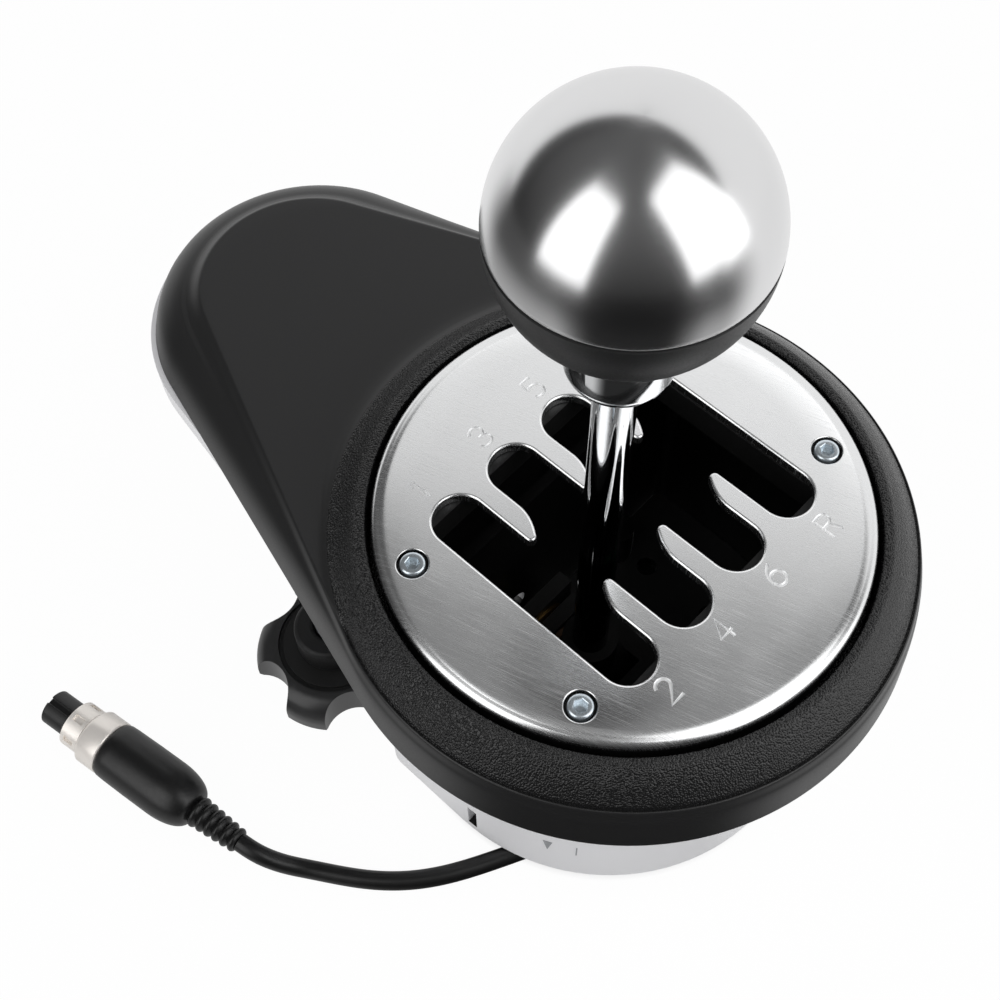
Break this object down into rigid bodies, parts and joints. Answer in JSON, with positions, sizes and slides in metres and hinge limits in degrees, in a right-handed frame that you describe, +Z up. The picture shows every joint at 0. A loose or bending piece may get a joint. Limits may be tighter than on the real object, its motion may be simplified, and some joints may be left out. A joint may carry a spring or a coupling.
{
  "type": "gear shifter",
  "caption": "H-pattern gear shifter for a driving rig: round steel gate on a black teardrop cover, chrome lever with a ball knob, silver drum, table clamp and plug-in lead.",
  "frame": {"origin": "on the drum's axis, on the surface that the feet stand on", "axes": "+Z up, +Y from the drum towards the tail and the clamp, +X to the right across the lanes"},
  "size_m": [0.197, 0.2303, 0.2392],
  "materials": {
    "rubber_black": "matte moulded rubber",
    "paint_black": "black powder coat",
    "screw_zinc": "blue-white zinc plate",
    "drum_silver": "satin silver paint",
    "cover_black": "satin black with a pebbled ring",
    "spacer_black": "plain black",
    "gate_steel": "straight brushed, bright edges",
    "bracket_steel": "dark plated steel",
    "bronze": "sintered bronze",
    "spring_steel": "drawn steel",
    "board_green": "green circuit board",
    "cradle_zinc": "machined",
    "magnet_nickel": "nickel plate",
    "lining_brown": "friction lining",
    "lever_chrome": "polished chrome",
    "knob_black": "matte black",
    "knob_steel": "round brushed",
    "jaw_black": "black anodised",
    "star_black": "satin gloss black",
    "cord_black": "smooth black jacket",
    "plug_black": "moulded black",
    "plug_nickel": "bright nickel",
    "pin_brass": "bare brass"
  },
  "bodies": {
    "root": {"rubber_feet": "rubber_black", "base_plate": "paint_black", "base_screws": "screw_zinc", "drum_housing": "drum_silver", "top_cover": "cover_black", "cover_screws": "screw_zinc", "gate_plate": "gate_steel", "gate_spacer": "spacer_black", "gate_screws": "screw_zinc", "tail_pad": "rubber_black", "pivot_bracket": "bracket_steel", "bracket_screws": "screw_zinc", "select_bushes": "bronze", "select_spring": "spring_steel", "select_board": "board_green", "main_board": "board_green", "clamp_rods": "spring_steel", "clamp_nuts": "screw_zinc", "cable_gland": "rubber_black", "cord": "cord_black", "plug_boot": "plug_black", "plug_ring": "plug_nickel", "plug_shell": "plug_nickel", "plug_insert": "plug_black", "plug_pins": "pin_brass"},
    "gimbal": {"gimbal_cradle": "cradle_zinc", "shift_bushes": "bronze", "select_magnet": "magnet_nickel", "shift_board": "board_green", "friction_pad": "lining_brown", "friction_screw": "screw_zinc"},
    "lever": {"lever_hub": "cradle_zinc", "shift_pin": "spring_steel", "shift_magnet": "magnet_nickel", "lever_rod": "lever_chrome", "knob_collar": "lever_chrome", "knob_base": "knob_black", "knob_cap": "knob_steel"},
    "jaw": {"clamp_jaw": "jaw_black", "jaw_pad": "rubber_black"},
    "star_left": {"star_knob_left": "star_black"},
    "star_right": {"star_knob_right": "star_black"}
  },
  "joints": [
    {"name": "select_tilt", "type": "hinge", "parent": "root", "child": "gimbal", "pos_m": [-0.0088, -0.0005, 0.0285], "axis": [0, 1, 0], "range_deg": [-14.9, 26.4], "stiffness_Nm_per_rad": 2.5},
    {"name": "shift_tilt", "type": "hinge", "parent": "gimbal", "child": "lever", "pos_m": [-0.0088, -0.0005, 0.0285], "axis": [1, 0, 0], "range_deg": [-16.5, 16.5]},
    {"name": "clamp_slide", "type": "slide", "parent": "root", "child": "jaw", "axis": [0, 0, 1], "range_m": [-0.012, 0.0275]},
    {"name": "star_left_turn", "type": "hinge", "parent": "jaw", "child": "star_left", "pos_m": [-0.0515, 0.058, 0.0195], "axis": [0, 0, 1], "range_deg": [-3457, 7921]},
    {"name": "star_right_turn", "type": "hinge", "parent": "jaw", "child": "star_right", "pos_m": [0.0515, 0.058, 0.0195], "axis": [0, 0, 1], "range_deg": [-3457, 7921]}
  ],
  "couplings": [
    {"joint": "star_left_turn", "follows": "clamp_slide", "rad_per_m": 5026.5},
    {"joint": "star_right_turn", "follows": "clamp_slide", "rad_per_m": 5026.5}
  ]
}
